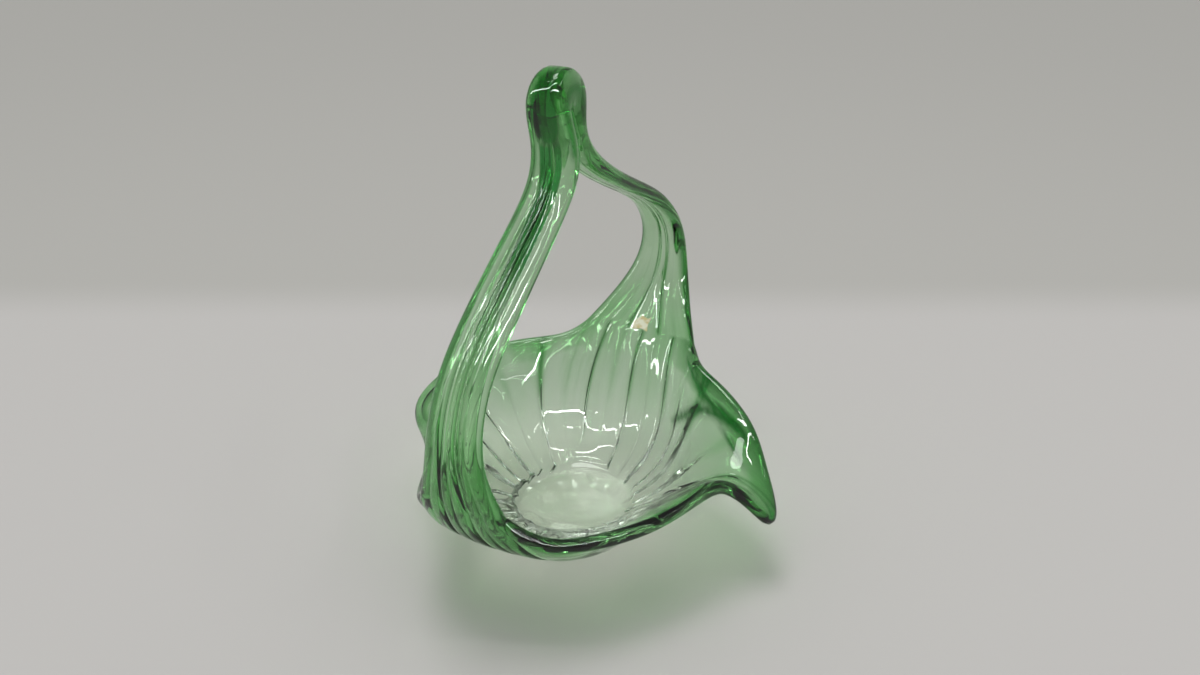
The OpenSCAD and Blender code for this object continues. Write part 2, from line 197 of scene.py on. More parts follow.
def side_rim(stations, near_from, start, end, near_to, u):
    """Rim of one side: a B-spline from the edge of one arm over the stations to the other arm."""
    p = np.vstack([near_from, start, polar(stations), end, near_to])
    n = len(p) - 2
    w = u * (n - 1)
    i = np.minimum(n - 2, np.floor(w)).astype(int)
    f = (w - i)[:, None]
    first = (2 * p[1] - p[0] - p[2]) / 6
    last = (2 * p[n] - p[n - 1] - p[n + 1]) / 6
    return (blend4(p[i], p[i + 1], p[i + 2], p[i + 3], f)
            + ease(1 - w)[:, None] * first + ease(w - n + 2)[:, None] * last)


def arm_way(front, t):
    """Direction in which the wall runs into an arm: along the handle, with little of its spread."""
    t = np.asarray(t, float)
    d = strap(.01, t) - strap(0, t) if front else strap(.99, t) - strap(1, t)
    return unit(unit(d) * [.25, 1, 1])


def side_ends(stations, right, u):
    """Ends and directions of the wall's columns along one side, at the shares u between the arms."""
    t = 1 if right else -1
    a, z = (0, 1) if right else (1, 0)
    near_a, near_z = (NEAR, 1 - NEAR) if right else (1 - NEAR, NEAR)
    p = side_rim(stations, strap(near_a, t), strap(a, t), strap(z, t), strap(near_z, t), u)
    q = np.vstack([stations[0], stations, stations[-1]])[:, 4:6]
    lean = np.radians(spline(q, u * (len(stations) + 1)))
    az = np.arctan2(p[:, 1], p[:, 0]) + lean[:, 1]
    own = np.column_stack([np.cos(az) * np.cos(lean[:, 0]), np.sin(az) * np.cos(lean[:, 0]),
                           np.sin(lean[:, 0])])
    w0 = ease(1 - u / SIDE_BLEND)[:, None]
    w1 = ease(1 - (1 - u) / SIDE_BLEND)[:, None]
    return p, unit((1 - w0 - w1) * own + w0 * arm_way(right, t) + w1 * arm_way(not right, t))


PACKED = .72


def packed(c):
    """Rib numbers c drawn towards the grooves at whole numbers: c less PACKED sin(2 pi c) / 2 pi."""
    return np.round(c - PACKED * np.sin(2 * np.pi * c) / (2 * np.pi), 9)


def wall_ends(c):
    """End points and directions of the wall's columns at the rib numbers c, on the arms or the rim."""
    c = c % RIBS
    front = np.where(c > HALF, c - RIBS, c)
    rear = c - HALF
    u = (np.where(c < HALF, c, rear) - ARM_RIBS) / (HALF - 2 * ARM_RIBS)
    at_front = np.abs(front) <= ARM_RIBS
    at_rear = np.abs(rear) <= ARM_RIBS
    right = ~at_front & ~at_rear & (c < HALF)
    left = ~at_front & ~at_rear & (c > HALF)
    point = np.empty((len(c), 3))
    way = np.empty((len(c), 3))
    point[at_front] = strap(0.0, front[at_front] / ARM_RIBS)
    way[at_front] = arm_way(True, front[at_front] / ARM_RIBS)
    point[at_rear] = strap(1.0, -rear[at_rear] / ARM_RIBS)
    way[at_rear] = arm_way(False, -rear[at_rear] / ARM_RIBS)
    point[right], way[right] = side_ends(RIGHT, True, u[right])
    point[left], way[left] = side_ends(LEFT, False, u[left])
    return point, way


rib_no = packed(np.arange(COLUMNS) / PER_RIB)
front_off = np.where(rib_no > HALF, rib_no - RIBS, rib_no)
rear_off = rib_no - HALF
inside_arm = (np.abs(front_off) < ARM_RIBS) | (np.abs(rear_off) < ARM_RIBS)
print("lips span", round(float(np.ptp(wall_ends(rib_no)[0][:, 0])), 1), "mm")

# %% Wall columns
CAD_ROWS = np.array([0, .07, .15, .24, .34, .45, .56, .67, .77, .86, .93, .965, .985, 1])
FINER = 3
ROWS = np.interp(np.arange((len(CAD_ROWS) - 1) * FINER + 1) / FINER, np.arange(len(CAD_ROWS)), CAD_ROWS)
WALL_SHIFT = .65
BELLY_AZ = 257
BELLY_FROM = .3
BELLY_RISE = 33
BELLY_DROP = 1
REACH = .42
BELLY_MORE = .03
# Shares of seven neighbouring columns, which even out the wall.
EVEN = np.array([1, 6, 15, 20, 15, 6, 1]) / 64
EVEN_SOON = 5.2


def around(c):
    """Azimuth of the rib numbers c, of which 0 is at 270 degrees, and the unit vector pointing there."""
    a = np.radians(270 + 360 * c / RIBS)
    return a, np.column_stack([np.cos(a), np.sin(a), np.zeros(len(c))])


def plain_wall(c):
    """Bezier curves at the rib numbers c, at the shares ROWS: base, outwards, into the end, end."""
    azimuth, outwards = around(c)
    end_point, end_way = wall_ends(c)
    base = BASE_R * outwards + [WALL_SHIFT * FLOOR_RIGHT, WALL_SHIFT * FLOOR_BACK, BASE_Z]
    belly = ease((np.cos(azimuth - np.radians(BELLY_AZ)) - BELLY_FROM) / (1 - BELLY_FROM))
    rise = np.radians(BELLY_RISE - BELLY_DROP * belly)[:, None]
    length = np.linalg.norm(end_point - base, axis=1)[:, None]
    leave = base + REACH * length * (outwards * np.cos(rise) + np.array([0, 0, 1]) * np.sin(rise))
    arrive = end_point - (REACH + BELLY_MORE * belly[:, None]) * length * end_way
    v = ROWS[None, :, None]
    return ((1 - v) ** 3 * base[:, None] + 3 * v * (1 - v) ** 2 * leave[:, None]
            + 3 * v * v * (1 - v) * arrive[:, None] + v ** 3 * end_point[:, None])


even = sum(w * plain_wall(rib_no + (k - 3) / 2) for k, w in enumerate(EVEN))
evened = np.minimum(1, EVEN_SOON * ROWS * (1 - ROWS))[None, :, None]
wall = (1 - evened) * plain_wall(rib_no) + evened * even
print("wall up to", round(float(wall[..., 2].max()), 1), "mm high")

# %% Handle grid
# The ribs bunch up in the middle of the arms, where the glass was stretched most.
BUNCH = .5
BUNCH_FROM = .1
LEAN = .1
ring_s = np.arange(RINGS + 1) / RINGS
across = packed(np.arange(-ARM_COLS, ARM_COLS + 1) / PER_RIB) / ARM_RIBS
bunch = BUNCH * ease(np.minimum(ring_s, 1 - ring_s) / BUNCH_FROM)[:, None]
lean = LEAN * bunch * np.where(ring_s < .5, 1, -.5)[:, None]
across_t = (1 - bunch) * across + bunch * across ** 3 + lean * (1 - across ** 2)
handle = strap(ring_s[:, None], across_t)
front_cols = np.arange(-ARM_COLS, ARM_COLS + 1) % COLUMNS
rear_cols = (COLUMNS // 2 - np.arange(-ARM_COLS, ARM_COLS + 1)) % COLUMNS
print("wall grid", wall.shape, "handle grid", handle.shape)

# %% [markdown]
# ## From a middle surface to solid glass
# The piece has two faces half a thickness to each side of the middle surface. Where the surface ends,
# on the rims and along the arms, the half thickness runs out as a half circle: that is the round,
# fire-polished edge. Solidify would give a square edge and no ribs, so both faces are worked out here.


# %% Normals and distances to the edges
def cross_normal(up, across):
    """Unit normal of a grid from its two directions, pointing to the inside of the basket."""
    return unit(np.cross(up, across))


up = np.empty_like(wall)
up[:, 1:-1] = wall[:, 2:] - wall[:, :-2]
up[:, 0] = wall[:, 1] - wall[:, 0]
up[:, -1] = wall[:, -1] - wall[:, -2]
up[front_cols[1:-1], -1] = handle[1, 1:-1] - wall[front_cols[1:-1], -2]
up[rear_cols[1:-1], -1] = handle[-2, 1:-1] - wall[rear_cols[1:-1], -2]
wall_normal = cross_normal(up, np.roll(wall, -1, axis=0) - np.roll(wall, 1, axis=0))
along = np.empty_like(handle)
along[1:-1] = handle[2:] - handle[:-2]
along[0] = handle[1] - wall[front_cols, -2]
along[-1] = wall[rear_cols, -2] - handle[-2]
padded = np.concatenate([handle[:, :1], handle, handle[:, -1:]], axis=1)
handle_normal = cross_normal(along, padded[:, 2:] - padded[:, :-2])


PARTS = 24
FAR_OFF = 99.0


def to_lines(points, lines):
    """Distance of each point to the nearest of some polylines, in parts to keep the arrays small."""
    start = np.concatenate([line[:-1] for line in lines])
    step = np.concatenate([np.diff(line, axis=0) for line in lines])
    size = (step * step).sum(1) + 1e-9
    found = []
    for part in np.array_split(points.reshape(-1, 3), PARTS):
        off = part[:, None] - start[None]
        t = np.clip((off * step).sum(-1) / size, 0, 1)
        found.append(np.linalg.norm(off - t[..., None] * step, axis=-1).min(1))
    return np.concatenate(found).reshape(points.shape[:-1])


right_edge = np.vstack([wall[ARM_COLS:COLUMNS // 2 - ARM_COLS + 1, -1], handle[-2::-1, -1]])
left_edge = np.vstack([wall[COLUMNS // 2 + ARM_COLS:COLUMNS - ARM_COLS + 1, -1], handle[1:, 0]])
edges = [right_edge, left_edge]
EDGE_ROW = 9 * FINER
wall_edge = np.full(wall.shape[:2], FAR_OFF)
wall_edge[:, EDGE_ROW:] = to_lines(wall[:, EDGE_ROW:], edges)
handle_edge = to_lines(handle, edges)
print("edge lengths in mm:", [round(float(np.linalg.norm(np.diff(e, axis=0), axis=1).sum())) for e in edges])

# %% [markdown]
# ## Ribs
# The mould pressed 26 ribs into the outside, every second groove deeper. Stretching made them
# shallow towards the lips and carried them up the arms. The inside follows the ribs faintly, and
# that is what breaks a lamp's reflection there into the hooked white strokes of worked glass.


# %% Ribs and thickness
# The grooves' depths are pairs of shares: of the base's groove depth and of the arms' groove depth.
# The wall's thickness is made of shares of the base's, the wall's and the rim's.
SOFT = .12
PAIRED = .5
PAIRED_FOOT = .7
ARM_GROOVES_TO = 2.5
ARM_GROOVES_SOFT = 1.5
LOBES_LEFT = .25
LOBES_TO = .35
GROOVE_ROWS = [0, .15, .4, .7, .9, 1]
SIDE_GROOVE = np.array([[1, 0], [1, 0], [.7, 0], [.35, 0], [.07, 0], [0, 0]])
ARM_GROOVE = np.array([[1, 0], [1, 0], [.5, .5], [.1, 1], [0, 1.05], [0, 1]])
WALL = np.array([[1, 0, 0], [.6, .45, 0], [.2, .9, 0], [0, 1.12, 0], [0, 1.03, 0], [0, 1, 0],
                 [0, .8, .2], [0, 0, 1]])


def groove_wave(w):
    """A wave that is round at 1 and a soft V at 0, from the root of w squared and SOFT squared."""
    return (np.sqrt(w * w + SOFT * SOFT) - SOFT) / (np.sqrt(1 + SOFT * SOFT) - SOFT)


def rib(c, pair):
    """Rib profile at rib number c: 1 on a rib, 0 in a groove, with pair as the paired ribs' share."""
    return ((1 - pair) * groove_wave(np.sin(np.pi * c)) + pair * groove_wave(np.cos(np.pi * c / 2)))


def rounded(t, d):
    """Half the thickness t at the distance d from the edge, which is a half circle of radius t/2."""
    r = t / 2
    return r * np.sqrt(1 - np.clip(1 - d / r, 0, 1) ** 2)


def groove_share(share_pairs, rows):
    """Groove depth in mm up the wall, from shares of the base's and the arms' groove depths."""
    depth = share_pairs @ [GROOVE_D, ARM_GROOVE_D]
    return np.interp(rows, GROOVE_ROWS, depth)


arm_off = np.minimum(np.abs(front_off), np.abs(rear_off))
arm_near = (1 - ease((arm_off - ARM_GROOVES_TO) / ARM_GROOVES_SOFT))[:, None]
depth = arm_near * groove_share(ARM_GROOVE, ROWS) + (1 - arm_near) * groove_share(SIDE_GROOVE, ROWS)
lobes = 1 - (1 - LOBES_LEFT) * ease(ROWS / LOBES_TO)
wall_rib = rib(rib_no, PAIRED)[:, None]
handle_rib = rib(across * ARM_RIBS, PAIRED)[None, :]
print("grooves up to", round(float((depth * lobes).max()), 1), "mm deep")

# %% Creases
# Reheating rounded the ribs, but the grooves between them stayed sharp creases. Depths are in mm,
# widths in ribs, and places up the wall in shares of its height.
CREASE_D = 2.1
CREASE_W = .085
ARM_CREASE_D = 1.3
ARM_CREASE_W = .17
EVEN_CREASE = .28
CREASE_FROM = .08
CREASE_FULL = .2
SIDE_CREASE_TO = .62
SIDE_CREASE_FADE = .25
WIDER_FROM = .6
WIDER = .3


def crease(c, width):
    """Crease at each whole rib number: exp of less (distance / width) squared, every second deeper."""
    away_from = np.abs(c - np.round(c)) / width
    return (EVEN_CREASE + (1 - EVEN_CREASE) * np.sin(np.pi * c / 2) ** 2) * np.exp(-away_from ** 2)


up_arm = ease((ROWS - CREASE_FROM) / CREASE_FULL)
up_side = up_arm * (1 - ease((ROWS - SIDE_CREASE_TO) / SIDE_CREASE_FADE))
crease_up = (arm_near * (CREASE_D + (ARM_CREASE_D - CREASE_D) * ROWS) * up_arm
             + (1 - arm_near) * CREASE_D * up_side)
wider = WIDER * arm_near * ease((ROWS - WIDER_FROM) / (1 - WIDER_FROM))
wall_crease = crease(rib_no[:, None], CREASE_W + (ARM_CREASE_W - CREASE_W) * wider)
handle_w = CREASE_W + (ARM_CREASE_W - CREASE_W) * (WIDER + (1 - WIDER) * bunch / BUNCH)
handle_crease = crease(across[None, :] * ARM_RIBS, handle_w)
print("creases in the wall up to", round(float((crease_up * wall_crease).max()), 1), "mm deep")

# %% Fold of the right lip
# The right lip folded once as it was drawn out: a creased line with a branch, and a sunk drop beside
# it. Their points are rib numbers and shares of the wall's height, measured out in millimetres.
RIB_MM = 9
WALL_RUN = 130
FOLD = np.array([[10.2, .5], [9.7, .6], [9.23, .68], [8.85, .8], [8.1, .93]])
BRANCH = np.array([[9.6, .94], [8.85, .87], [8.1, .93]])
FOLD_W = 1.5
FOLD_D = 1.2
FOLD_FROM = .45
FOLD_FULL = .12
DROP_RIB = 7.86
DROP_UP = .83
DROP_L = 3.6
DROP_W = 2
places = np.stack(np.broadcast_arrays(rib_no[:, None] * RIB_MM, ROWS * WALL_RUN, 0.0), -1)
fold_lines = [np.column_stack([line * [RIB_MM, WALL_RUN], np.zeros(len(line))]) for line in (FOLD, BRANCH)]
fold = np.exp(-(to_lines(places, fold_lines) / FOLD_W) ** 2) * ease((ROWS - FOLD_FROM) / FOLD_FULL)
drop = np.exp(-((rib_no[:, None] - DROP_RIB) * RIB_MM / DROP_L) ** 2
              - ((ROWS - DROP_UP) * WALL_RUN / DROP_W) ** 2)
fold = np.maximum(fold, drop)
print("points in the fold and the drop:", int((fold > .5).sum()))

# %% Thickness and edges
# The melted edge swells a little into a bead. Lengths are in mm.
BEAD = .15
BEAD_AT = 4.5
BEAD_W = 3.5
BEAD_FROM = 2
WALL_GROOVES_FROM = 8
ARM_GROOVES_FROM = 5
ARM_LOBES = .4


def bead(edge):
    """Extra half thickness of the melted bead: BEAD exp of less ((edge - BEAD_AT) / BEAD_W) squared."""
    return BEAD * np.exp(-((edge - BEAD_AT) / BEAD_W) ** 2)


wall_groove = depth * lobes * (1 - wall_rib) + crease_up * wall_crease + FOLD_D * fold
wall_groove = wall_groove * np.minimum(1, wall_edge / WALL_GROOVES_FROM)
in_knot = np.clip((spline(STRAP_MM, ring_s * SPANS)[:, 6] - ARM_T) / (KNOT_T - ARM_T), 0, 1)[:, None]
on_arm = np.minimum(1, handle_edge / ARM_GROOVES_FROM) * (1 - in_knot)
arm_lobes = ARM_LOBES * LOBES_LEFT * ARM_GROOVE_D * (1 - handle_rib)
handle_groove = (arm_lobes + ARM_CREASE_D * handle_crease) * on_arm
wall_t = spline(WALL, ROWS * (len(WALL) - 1)) @ [BASE_T, WALL_T, RIM_T]
strap_t, strap_crown = spline(STRAP_MM, ring_s * SPANS)[:, 6:8].T[:, :, None]
rim_point = ~(inside_arm[:, None]) & (np.arange(len(ROWS)) == len(ROWS) - 1)
wall_half = np.where(rim_point, 0, rounded(wall_t[None, :], wall_edge) + bead(wall_edge))
handle_bead = bead(handle_edge) * np.minimum(1, handle_edge / BEAD_FROM) * (1 - in_knot)
handle_half = rounded(strap_t, handle_edge) + handle_bead
print("wall from", round(float(2 * wall_half[:, 0].max()), 1), "mm at the base to",
      round(float(2 * np.median(wall_half[:, len(ROWS) // 2])), 1), "mm")

# %% The two faces
# No groove takes more than a share of the half thickness, so the faces never meet.
INNER_CREASE = .35
INNER_FROM = 12
INNER_MOST = .3
OUTER_MOST = .8
ripple = INNER_CREASE * crease_up * wall_crease * np.minimum(1, wall_edge / INNER_FROM)
wall_in = wall + (wall_half - np.minimum(ripple, INNER_MOST * wall_half))[..., None] * wall_normal
wall_out = wall - (wall_half - np.minimum(OUTER_MOST * wall_half, wall_groove))[..., None] * wall_normal
wall_out[rim_point] = wall_in[rim_point]
inner_groove = np.minimum(INNER_CREASE * ARM_CREASE_D * handle_crease * on_arm, INNER_MOST * handle_half)
handle_in = handle + (handle_half - inner_groove)[..., None] * handle_normal
outer_half = handle_half * (1 + 2 * strap_crown / strap_t)
outer_groove = np.minimum(OUTER_MOST * handle_half, handle_groove)
handle_out = handle - (outer_half - outer_groove)[..., None] * handle_normal
print("knot", round(float(np.ptp(handle_out[RINGS // 2 - 1:RINGS // 2 + 2, :, 0])), 1), "mm wide at its top")

# %% Fused knot
# The two legs of the knot are one lump of glass, so there their inner faces are drawn together, with
# a lap of a tenth or two of a millimetre. Rings of equal height lie opposite each other.
LAP = .1
FUSED_SHARP = 1.5


def at_rings(grid, where):
    """Rows of a grid at fractional ring numbers, on straight lines between the whole ones."""
    low = np.clip(np.floor(where).astype(int), 0, len(grid) - 2)
    part = (where - low).reshape((-1,) + (1,) * (grid.ndim - 1))
    return (1 - part) * grid[low] + part * grid[low + 1]


ring_no = np.arange(RINGS + 1)
height_in = handle_in[:, ARM_COLS, 2]
crown = int(height_in.argmax())
on_rear = np.interp(height_in, height_in[crown:][::-1], ring_no[crown:][::-1])
on_front = np.interp(height_in, height_in[:crown + 1], ring_no[:crown + 1])
opposite = np.where(ring_no < crown, on_rear, on_front)
fused = np.minimum(in_knot, at_rings(in_knot, opposite)) ** FUSED_SHARP
slot = at_rings(handle_in, opposite) - handle_in
slot_w = np.linalg.norm(slot, axis=-1)
handle_in = handle_in + (fused * (.5 + LAP / (slot_w + 1)))[..., None] * slot
print("slot in the knot closed, up to", round(float((slot_w * fused).max()), 1), "mm wide")

# %% Floor inside and foot outside
# Each row: radius, height, share of the floor's shift, height of the ribs.
FLOOR_MIDDLE = 2.5
FLOOR = np.array([[BASE_R - 9, 3.6, .9, 0], [BASE_R - 14, 3, 1, 0], [BASE_R / 3, 2.6, 1, 0]])
FOOT = np.array([[FOOT_R + 4, 3.6, .35, 1.6], [FOOT_R + 1, .8, .1, 1.5], [FOOT_R - 1, 0, 0, 1.2],
                 [FOOT_R * .6, 0, 0, 0]])


def rings(stations, z0, turns):
    """Rings of radius, height, floor shift and rib height, taken between the stations at turns."""
    q = np.stack([np.interp(turns, np.arange(len(stations)), k) for k in stations.T], 1)
    r = q[:, :1] + q[:, 3:] * rib(rib_no, PAIRED_FOOT)
    xy = r[..., None] * around(rib_no)[1][None, :, :2] + (q[:, 2:3] * [FLOOR_RIGHT, FLOOR_BACK])[:, None]
    return np.concatenate([xy, np.broadcast_to((z0 + q[:, 1])[:, None, None], r.shape + (1,))], -1)


floor_rings = rings(FLOOR, BASE_Z, np.linspace(0, 2, 7))
foot_rings = rings(FOOT, 0, np.array([0, .5, 1, 1.5, 1.9, 2, 2.1, 3]))
middles = np.array([[FLOOR_RIGHT, FLOOR_BACK, BASE_Z + FLOOR_MIDDLE], [0, 0, 0]])
print("rings in the floor and the foot:", len(floor_rings), len(foot_rings))

# %% [markdown]
# ## One closed mesh
# All grids go into one list of points, and arrays of point numbers say which point each grid corner
# is. Both faces share the numbers on the rims, so the mesh is closed with no merging.


# %% Numbering and faces
def quads(grid, wrap=False, turn=False):
    """Four-cornered faces of an array of point numbers, with the last column joined to the first
    when wrap is set and the corners in the other order when turn is set."""
    g = np.concatenate([grid, grid[:, :1]], axis=1) if wrap else grid
    q = np.stack([g[:-1, :-1], g[1:, :-1], g[1:, 1:], g[:-1, 1:]], -1).reshape(-1, 4)
    return q[:, ::-1] if turn else q


blocks = [wall_in, wall_out, handle_in, handle_out, floor_rings, foot_rings, middles]
starts = np.cumsum([0] + [b.reshape(-1, 3).shape[0] for b in blocks])
points = np.vstack([b.reshape(-1, 3) for b in blocks])
number = [start + np.arange(b[..., 0].size).reshape(b.shape[:-1]) for start, b in zip(starts, blocks)]
in_wall, out_wall, in_handle, out_handle, floor_no, foot_no, middle_no = number
out_wall[rim_point] = in_wall[rim_point]
for face_no, wall_no in ((in_handle, in_wall), (out_handle, out_wall)):
    face_no[0] = wall_no[front_cols, -1]
    face_no[-1] = wall_no[rear_cols, -1]
out_handle[1:-1, [0, -1]] = in_handle[1:-1, [0, -1]]
floor_grid = np.vstack([in_wall[:, 0], floor_no])
foot_grid = np.vstack([out_wall[:, 0], foot_no])
fans = [np.column_stack([np.full(COLUMNS, middle_no[0]), floor_no[-1], np.roll(floor_no[-1], -1)]),
        np.column_stack([np.full(COLUMNS, middle_no[1]), np.roll(foot_no[-1], -1), foot_no[-1]])]
four = np.vstack([quads(in_wall.T, wrap=True), quads(out_wall.T, wrap=True, turn=True),
                  quads(in_handle), quads(out_handle, turn=True),
                  quads(floor_grid, wrap=True, turn=True), quads(foot_grid, wrap=True)])
used, renumbered = np.unique(np.concatenate([four.ravel(), np.vstack(fans).ravel()]), return_inverse=True)
four_used = renumbered[:four.size].reshape(-1, 4)
three_used = renumbered[four.size:].reshape(-1, 3)


# %% Make the glass mesh
def new_piece(name, xyz_mm, faces):
    """A smooth-shaded mesh object at the origin, from points in millimetres."""
    mesh = bpy.data.meshes.new(name)
    mesh.from_pydata((np.asarray(xyz_mm) * MM).tolist(), [], faces)
    mesh.shade_smooth()
    piece = bpy.data.objects.new(name, mesh)
    bpy.context.scene.collection.objects.link(piece)
    return piece


basket = new_piece("basket_glass", points[used], four_used.tolist() + three_used.tolist())
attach(basket, "root")
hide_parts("basket")
print("basket_glass:", len(basket.data.polygons), "faces")

# %% [markdown]
# ## Where the glass is green
# The gather was clear and only its outer part green. Opening and drawing moved the green into the
# rims, the lips, the arms and the knot, while the thick base stayed clear. That follows the worked
# surface and not the room's axes, so it is kept as values on the points of the mesh. The extra green
# along the creases is painted shade, which darkens the crease lines.


# %% Green share of each point
def fields(of_wall, handle_inside, handle_outside, of_ends):
    """One value or vector for each point of the mesh, from the arrays of its blocks in their order:
    wall, inner and outer face of the handle, and floor and foot."""
    parts = [of_wall, of_wall, handle_inside, handle_outside, of_ends, of_ends]
    shapes = [wall_in, wall_out, handle_in, handle_out, floor_rings, foot_rings]
    last = np.shape(of_wall)[2:]
    flat = [np.broadcast_to(p, s.shape[:2] + last).reshape((-1,) + last) for p, s in zip(parts, shapes)]
    return np.concatenate(flat + [np.zeros((2,) + last)])[used]


# Places are shares of the wall or the handle, and fades from the edge are in mm.
WALL_GREEN_FROM = .1
WALL_GREEN_FULL = .75
EDGE_GREEN = 13
ARM_EDGE_GREEN = 2.6
# The two crease shares below are painted shade: extra green along the creases darkens the crease lines.
CREASE_SHADE_GREEN = .6
ARM_CREASE_SHADE_GREEN = .4
FRONT_GREEN = .4
LIP_GREEN = .5
LIP_FADE = 20
LIP_AT = 8.5
LIP_W = 2.2
ARM_PALE = .15
ARM_EDGE = .55
KNOT_GREEN = .1
REAR_PALE = .35
JOINT_RUN = .14
lip = np.exp(-((rib_no - LIP_AT) / LIP_W) ** 2)[:, None]
front_wall = 1 - ease((np.abs(front_off) - ARM_RIBS) / (ARM_RIBS + 1))[:, None]
wall_green = ease((ROWS - WALL_GREEN_FROM) / WALL_GREEN_FULL) * (.5 + .5 * np.exp(-wall_edge / EDGE_GREEN))
# Painted shade: more green along the wall's creases.
wall_green = wall_green + CREASE_SHADE_GREEN * wall_crease * ease((ROWS - .3) / .4)
wall_green = wall_green + FRONT_GREEN * front_wall * ease((ROWS - .2) / .4)
wall_green = wall_green + LIP_GREEN * lip * np.exp(-wall_edge / LIP_FADE)
# Painted shade: more green along the arm's creases.
arm_green = ARM_PALE + ARM_EDGE * np.exp(-handle_edge / ARM_EDGE_GREEN) + ARM_CREASE_SHADE_GREEN * handle_crease
arm_green = arm_green + KNOT_GREEN * strap_crown / strap_crown.max()
# Painted shade: more green along the creases where the arms meet the wall.
at_joint = .5 + .5 * np.exp(-handle_edge / EDGE_GREEN) + CREASE_SHADE_GREEN * handle_crease
at_joint = at_joint + FRONT_GREEN * (ring_s < .5)[:, None]
past_joint = ease(np.minimum(ring_s, 1 - ring_s) / JOINT_RUN)[:, None]
rear_pale = 1 - REAR_PALE * ease((ring_s - .5) / .1)[:, None]
arm_green = (1 - past_joint) * at_joint + past_joint * rear_pale * arm_green
green = np.clip(fields(wall_green, arm_green, arm_green, 0.0), 0, 1)
print("green share: mean", round(float(green.mean()), 2), "highest", round(float(green.max()), 2))

# %% Deep green parts
# The fused arms hold a dark oval and a dark side in the knot, and from the oval one dark streak runs
# down the front arm. Along the creases the deep share is painted shade, which darkens the crease
# lines. Places along the handle run from 0 to 1, and across it from -1 to 1.
OVAL_AT = .447
OVAL_L = .05
OVAL_T = .1
OVAL_W = .55
OVAL_CORE = .85
OVAL_SOFT = .2
STREAK_SPAN = (.15, .12, .4, .02)
STREAK_TURNS = [.22, .27, .32, .37]
STREAK_T = [.25, .2, .12, -.05]
STREAK_WIDENS = [.2, .3, .4]
STREAK_W = [.15, .28, .3]
STREAK_SOFT = .25
SIDE_SPAN = (.37, .02, .56, .02)
SIDE_T = .9
SIDE_W = .16
REAR_LEG = .47
REAR_DEEP = .5
EDGE_DEEP = .35
EDGE_DEEP_W = 1.8
# The crease lines' deep shares below are painted shade.
LINE_SHADE_DEEP = .6
RIM_DEEP = .3
RIM_DEEP_W = 5
LIP_DEEP = .6
LIP_DEEP_W = 14
CREASE_SHADE_DEEP = .6


def between(low, rise, high, fall):
    """1 along the handle from low + rise to high, easing to 0 at low and at high + fall."""
    return (ease((ring_s - low) / rise) * (1 - ease((ring_s - high) / fall)))[:, None]


oval = np.hypot((ring_s[:, None] - OVAL_AT) / OVAL_L, (across_t - OVAL_T) / OVAL_W)
oval_deep = 1 - ease((oval - OVAL_CORE) / OVAL_SOFT)
streak_t = np.interp(ring_s, STREAK_TURNS, STREAK_T)[:, None]
streak_w = np.interp(ring_s, STREAK_WIDENS, STREAK_W)[:, None]
streak_off = np.abs(across_t - streak_t) / streak_w
streak_deep = between(*STREAK_SPAN) * (1 - ease((streak_off - 1 + STREAK_SOFT) / STREAK_SOFT))
side_deep = between(*SIDE_SPAN) * np.exp(-((across_t - SIDE_T) / SIDE_W) ** 2)
# Painted shade: the arm's crease lines go deep green.
line_shade_deep = LINE_SHADE_DEEP * handle_crease ** 3 * (1 - in_knot)
edge_deep_and_line_shade = EDGE_DEEP * np.exp(-(handle_edge / EDGE_DEEP_W) ** 2) + line_shade_deep
leg_deep = REAR_DEEP * in_knot * (ring_s > REAR_LEG)[:, None]
back_deep_and_line_shade = np.maximum(np.maximum(edge_deep_and_line_shade, streak_deep), leg_deep)
face_deep_and_line_shade = np.max(np.broadcast_arrays(oval_deep, side_deep, back_deep_and_line_shade), axis=0)
wall_deep_and_crease_shade = RIM_DEEP * np.exp(-(wall_edge / RIM_DEEP_W) ** 2)
wall_deep_and_crease_shade = wall_deep_and_crease_shade + LIP_DEEP * lip * np.exp(-(wall_edge / LIP_DEEP_W) ** 2)
# Painted shade: deep green along the wall's creases in the upper wall. The fold and the drop are darker too.
wall_deep_and_crease_shade = wall_deep_and_crease_shade + CREASE_SHADE_DEEP * wall_crease ** 2 * ease((ROWS - .4) / .3) + fold
deep = np.clip(fields(wall_deep_and_crease_shade, back_deep_and_line_shade, face_deep_and_line_shade, 0.0), 0, 1)
print("deep share: mean", round(float(deep.mean()), 2))

# %% Direction in which the glass was drawn
# The streaks run along this field: across in mm, along in mm, and a third way that breaks repeats.
HANDLE_RUN = 560
mirrored = np.where(np.abs(front_off) < np.abs(rear_off), front_off, -rear_off)[:, None] * RIB_MM
wall_drawn = np.stack(np.broadcast_arrays(mirrored, (ROWS - 1) * WALL_RUN, wall[..., 1]), -1)
arm_run = np.minimum(ring_s, 1 - ring_s)[:, None] * HANDLE_RUN
arm_drawn = np.stack(np.broadcast_arrays(across * ARM_RIBS * RIB_MM, arm_run, handle[..., 1]), -1)
drawn = fields(wall_drawn, arm_drawn, arm_drawn, wall_drawn[:, 0])
for name, kind, key, values in (("green", "FLOAT", "value", green), ("deep", "FLOAT", "value", deep),
                                ("drawn", "FLOAT_VECTOR", "vector", drawn.ravel())):
    basket.data.attributes.new(name, kind, "POINT").data.foreach_set(key, values)
print("fields green, deep and drawn on", len(used), "points")

# %% [markdown]
# ## Glass as a material
# Clear and coloured soda-lime glass, fire-polished, so it has no grain at all: the eye gets only
# refraction, reflection and colour that deepens with the length of the way through the glass.
# A tint on the surface alone would be equally green everywhere. Absorption inside the closed mesh
# gives pale walls with dark edges and grooves. The tint adds the fine drawn streaks, painted shade
# along the creases, and a darker edge where the glass is seen edge on, partly painted shade.


